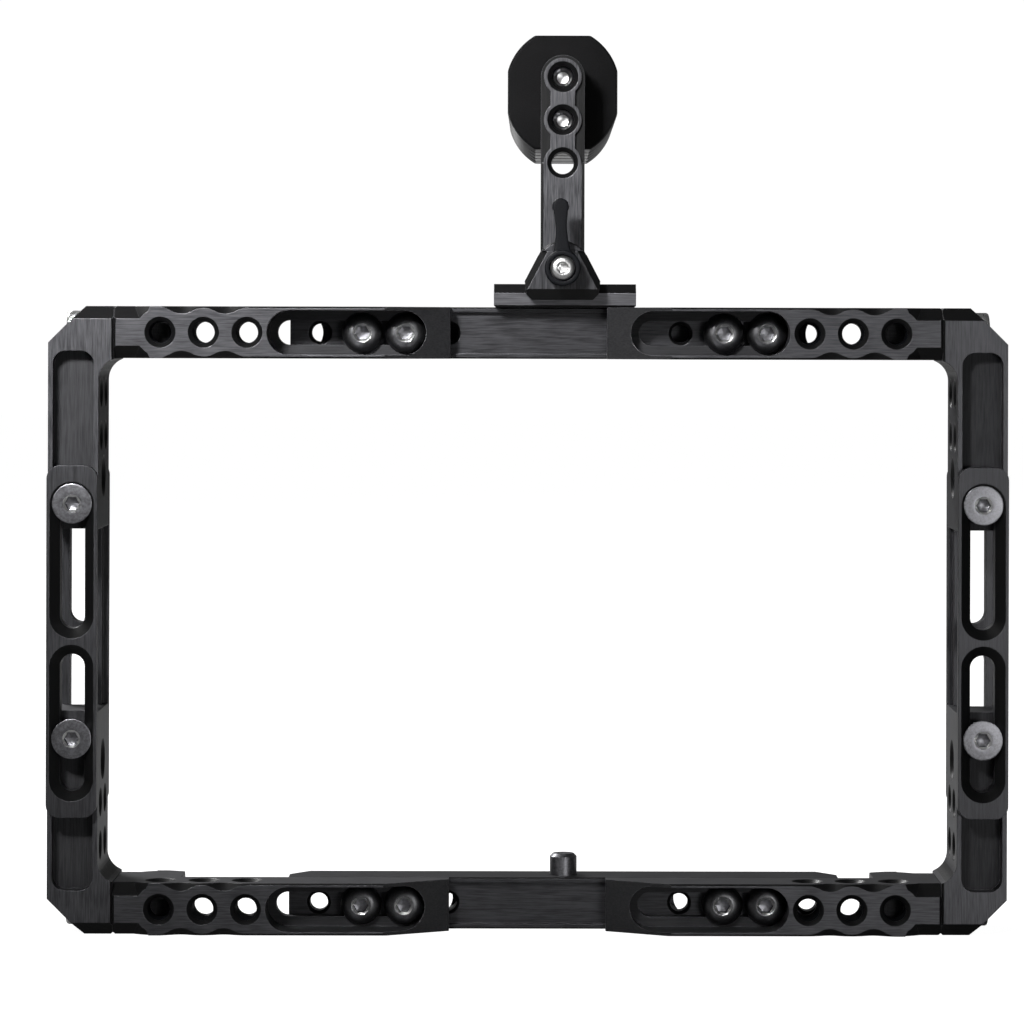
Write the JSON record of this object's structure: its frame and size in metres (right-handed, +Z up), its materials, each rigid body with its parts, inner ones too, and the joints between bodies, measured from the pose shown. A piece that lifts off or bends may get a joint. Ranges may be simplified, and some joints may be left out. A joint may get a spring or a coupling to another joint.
{
  "type": "camera cage",
  "caption": "Modular camera cage of black anodised bars, adjustable in width and height, with a grip handle clamped by a lever on a dovetail rail.",
  "frame": {"origin": "root of the camera stud, in the middle of the bottom rail's top face", "axes": "+X to the right seen from the lens side, +Y away from the viewer, +Z up along the camera stud"},
  "size_m": [0.221, 0.112, 0.2088],
  "materials": {
    "anodised_bar": "black hard anodised, brushed along the bar",
    "anodised_corner": "black hard anodised, brushed along the leg",
    "anodised_arm": "black hard anodised, brushed along the arm",
    "anodised_link": "black hard anodised, brushed along the link",
    "anodised_post": "black hard anodised, brushed up the post",
    "anodised_jaw": "black hard anodised, fine bead blasted",
    "lever_finish": "black anodised, satin",
    "black_screw": "black oxide, glossy",
    "stainless_screw": "stainless steel, turned",
    "stainless_bolt": "stainless steel, knurled head",
    "polished_screw": "bright stainless steel",
    "spring_steel": "bright spring wire",
    "core_plastic": "black nylon",
    "grip_rubber": "matte black rubber foam"
  },
  "bodies": {
    "base": {"rail_bottom": "anodised_bar", "camera_screw": "stainless_screw", "arm_screws_bottom_left": "black_screw", "arm_screws_bottom_right": "black_screw"},
    "lower_left": {"corner_bottom_left": "anodised_corner", "arm_bottom_left": "anodised_arm", "corner_bolt_bottom_left": "stainless_bolt", "link_screws_bottom_left": "stainless_screw"},
    "lower_right": {"corner_bottom_right": "anodised_corner", "arm_bottom_right": "anodised_arm", "corner_bolt_bottom_right": "stainless_bolt", "link_screws_bottom_right": "stainless_screw"},
    "left_links": {"link_front_left": "anodised_link", "link_rear_left": "anodised_link"},
    "right_links": {"link_front_right": "anodised_link", "link_rear_right": "anodised_link"},
    "upper_left": {"corner_top_left": "anodised_corner", "arm_top_left": "anodised_arm", "corner_bolt_top_left": "stainless_bolt", "link_screws_top_left": "stainless_screw"},
    "upper_right": {"corner_top_right": "anodised_corner", "arm_top_right": "anodised_arm", "corner_bolt_top_right": "stainless_bolt", "link_screws_top_right": "stainless_screw"},
    "top_rail": {"rail_top": "anodised_bar", "arm_screws_top_left": "black_screw", "arm_screws_top_right": "black_screw", "dovetail_rail": "anodised_bar", "dovetail_screws": "black_screw"},
    "handle": {"handle_post": "anodised_post", "jaw_spring": "spring_steel", "grip_core": "core_plastic", "grip_sleeve": "grip_rubber", "grip_screws": "polished_screw"},
    "jaw": {"clamp_jaw": "anodised_jaw"},
    "lever": {"clamp_lever": "lever_finish", "lever_screw": "polished_screw", "draw_bolt": "stainless_bolt"}
  },
  "joints": [
    {"name": "left_width", "type": "slide", "parent": "base", "child": "lower_left", "axis": [1, 0, 0], "range_m": [0, 0.0168]},
    {"name": "right_width", "type": "slide", "parent": "base", "child": "lower_right", "axis": [1, 0, 0], "range_m": [0, 0.0168]},
    {"name": "link_height_left", "type": "slide", "parent": "lower_left", "child": "left_links", "axis": [0, 0, 1], "range_m": [-0.016, 0.009]},
    {"name": "link_height_right", "type": "slide", "parent": "lower_right", "child": "right_links", "axis": [0, 0, 1], "range_m": [-0.016, 0.009]},
    {"name": "top_height_left", "type": "slide", "parent": "left_links", "child": "upper_left", "axis": [0, 0, 1], "range_m": [-0.025, 0]},
    {"name": "top_height_right", "type": "slide", "parent": "right_links", "child": "upper_right", "axis": [0, 0, 1], "range_m": [-0.025, 0]},
    {"name": "top_rail_slide", "type": "slide", "parent": "upper_left", "child": "top_rail", "axis": [1, 0, 0], "range_m": [-0.0168, 0]},
    {"name": "handle_slide", "type": "slide", "parent": "top_rail", "child": "handle", "axis": [1, 0, 0], "range_m": [-0.007, 0.008]},
    {"name": "jaw_opening", "type": "slide", "parent": "handle", "child": "jaw", "axis": [0, -1, 0], "range_m": [0, 0.0012]},
    {"name": "lever_turn", "type": "hinge", "parent": "jaw", "child": "lever", "pos_m": [-0.0006, -0.0155, 0.1418], "axis": [0, -1, 0], "range_deg": [0, 540]}
  ],
  "couplings": [
    {"joint": "link_height_right", "follows": "link_height_left", "ratio": 1},
    {"joint": "top_height_right", "follows": "top_height_left", "ratio": 1},
    {"joint": "top_rail_slide", "follows": "left_width", "ratio": -1},
    {"joint": "lever_turn", "follows": "jaw_opening", "rad_per_m": 7853.9}
  ]
}
